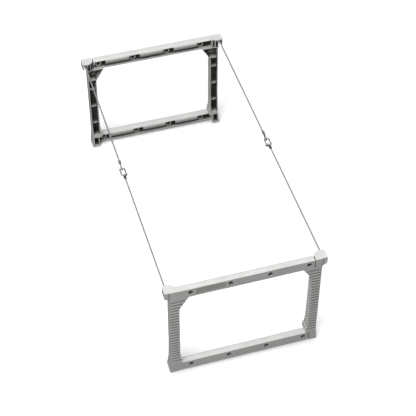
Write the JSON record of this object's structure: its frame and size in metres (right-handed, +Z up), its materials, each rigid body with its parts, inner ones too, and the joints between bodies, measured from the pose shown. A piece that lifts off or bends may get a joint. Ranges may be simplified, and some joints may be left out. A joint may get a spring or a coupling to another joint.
{
  "type": "wall mounted fold down drying rack",
  "caption": "Rectangular ribbed end frames joined by taut wire ropes with snap-hook couplings, folding together as the ropes drop at mid length.",
  "frame": {"origin": "on the floor, midway between the two end frames and midway across them", "axes": "+X along the rails, +Y from the front frame to the rear frame along the ropes, +Z up"},
  "size_m": [0.4, 0.868, 0.307],
  "materials": {
    "moulded_frame": "light warm grey moulded plastic",
    "label_plate": "blank satin plate",
    "plated_screw": "zinc plated",
    "anchor_pin": "bright steel pin",
    "swaged_terminal": "swaged steel",
    "wire_rope": "galvanised stranded wire",
    "crimped_ferrule": "dark crimped sleeve",
    "plated_fitting": "bright zinc plate",
    "spring_wire": "spring steel"
  },
  "bodies": {
    "rear_frame": {"rear_left_post": "moulded_frame", "rear_right_post": "moulded_frame", "rear_top_rail": "moulded_frame", "rear_bottom_rail": "moulded_frame", "rear_label_plate": "label_plate", "rear_joint_screws": "plated_screw", "rear_anchor_pins": "anchor_pin"},
    "front_frame": {"front_left_post": "moulded_frame", "front_right_post": "moulded_frame", "front_top_rail": "moulded_frame", "front_bottom_rail": "moulded_frame", "front_label_plate": "label_plate", "front_joint_screws": "plated_screw", "front_anchor_pins": "anchor_pin"},
    "left_rear_length": {"left_rear_end_eye": "swaged_terminal", "left_rear_rope": "wire_rope", "left_rear_ferrule": "swaged_terminal", "left_thimble": "plated_fitting"},
    "left_front_length": {"left_snap_hook": "plated_fitting", "left_gate_pin": "plated_screw", "left_gate_spring": "spring_wire", "left_front_ferrule": "crimped_ferrule", "left_front_rope": "wire_rope", "left_front_end_eye": "swaged_terminal"},
    "left_gate": {"left_snap_gate": "plated_fitting"},
    "right_rear_length": {"right_rear_end_eye": "swaged_terminal", "right_rear_rope": "wire_rope", "right_rear_ferrule": "swaged_terminal", "right_thimble": "plated_fitting"},
    "right_front_length": {"right_snap_hook": "plated_fitting", "right_gate_pin": "plated_screw", "right_gate_spring": "spring_wire", "right_front_ferrule": "crimped_ferrule", "right_front_rope": "wire_rope", "right_front_end_eye": "swaged_terminal"},
    "right_gate": {"right_snap_gate": "plated_fitting"}
  },
  "joints": [
    {"name": "left_rear_rope_swing", "type": "hinge", "parent": "rear_frame", "child": "left_rear_length", "pos_m": [-0.192, 0.418, 0.298], "axis": [1, 0, 0], "range_deg": [0, 42]},
    {"name": "left_coupling_fold", "type": "hinge", "parent": "left_rear_length", "child": "left_front_length", "pos_m": [-0.192, 0, 0.298], "axis": [1, 0, 0], "range_deg": [-84, 0]},
    {"name": "left_gate_hinge", "type": "hinge", "parent": "left_front_length", "child": "left_gate", "pos_m": [-0.186, -0.021, 0.298], "axis": [0, 0, 1], "range_deg": [0, 22], "stiffness_Nm_per_rad": 0.02, "springref_deg": -20.05},
    {"name": "right_rear_rope_swing", "type": "hinge", "parent": "rear_frame", "child": "right_rear_length", "pos_m": [0.192, 0.418, 0.298], "axis": [1, 0, 0], "range_deg": [0, 42]},
    {"name": "right_coupling_fold", "type": "hinge", "parent": "right_rear_length", "child": "right_front_length", "pos_m": [0.192, 0, 0.298], "axis": [1, 0, 0], "range_deg": [-84, 0]},
    {"name": "right_gate_hinge", "type": "hinge", "parent": "right_front_length", "child": "right_gate", "pos_m": [0.186, -0.021, 0.298], "axis": [0, 0, -1], "range_deg": [0, 22], "stiffness_Nm_per_rad": 0.02, "springref_deg": -20.05},
    {"name": "front_frame_swing", "type": "hinge", "parent": "left_front_length", "child": "front_frame", "pos_m": [-0.192, -0.418, 0.298], "axis": [1, 0, 0], "range_deg": [0, 42]}
  ],
  "couplings": [
    {"joint": "left_coupling_fold", "follows": "left_rear_rope_swing", "ratio": -2},
    {"joint": "front_frame_swing", "follows": "left_rear_rope_swing", "ratio": 1},
    {"joint": "right_rear_rope_swing", "follows": "left_rear_rope_swing", "ratio": 1},
    {"joint": "right_coupling_fold", "follows": "left_rear_rope_swing", "ratio": -2}
  ]
}
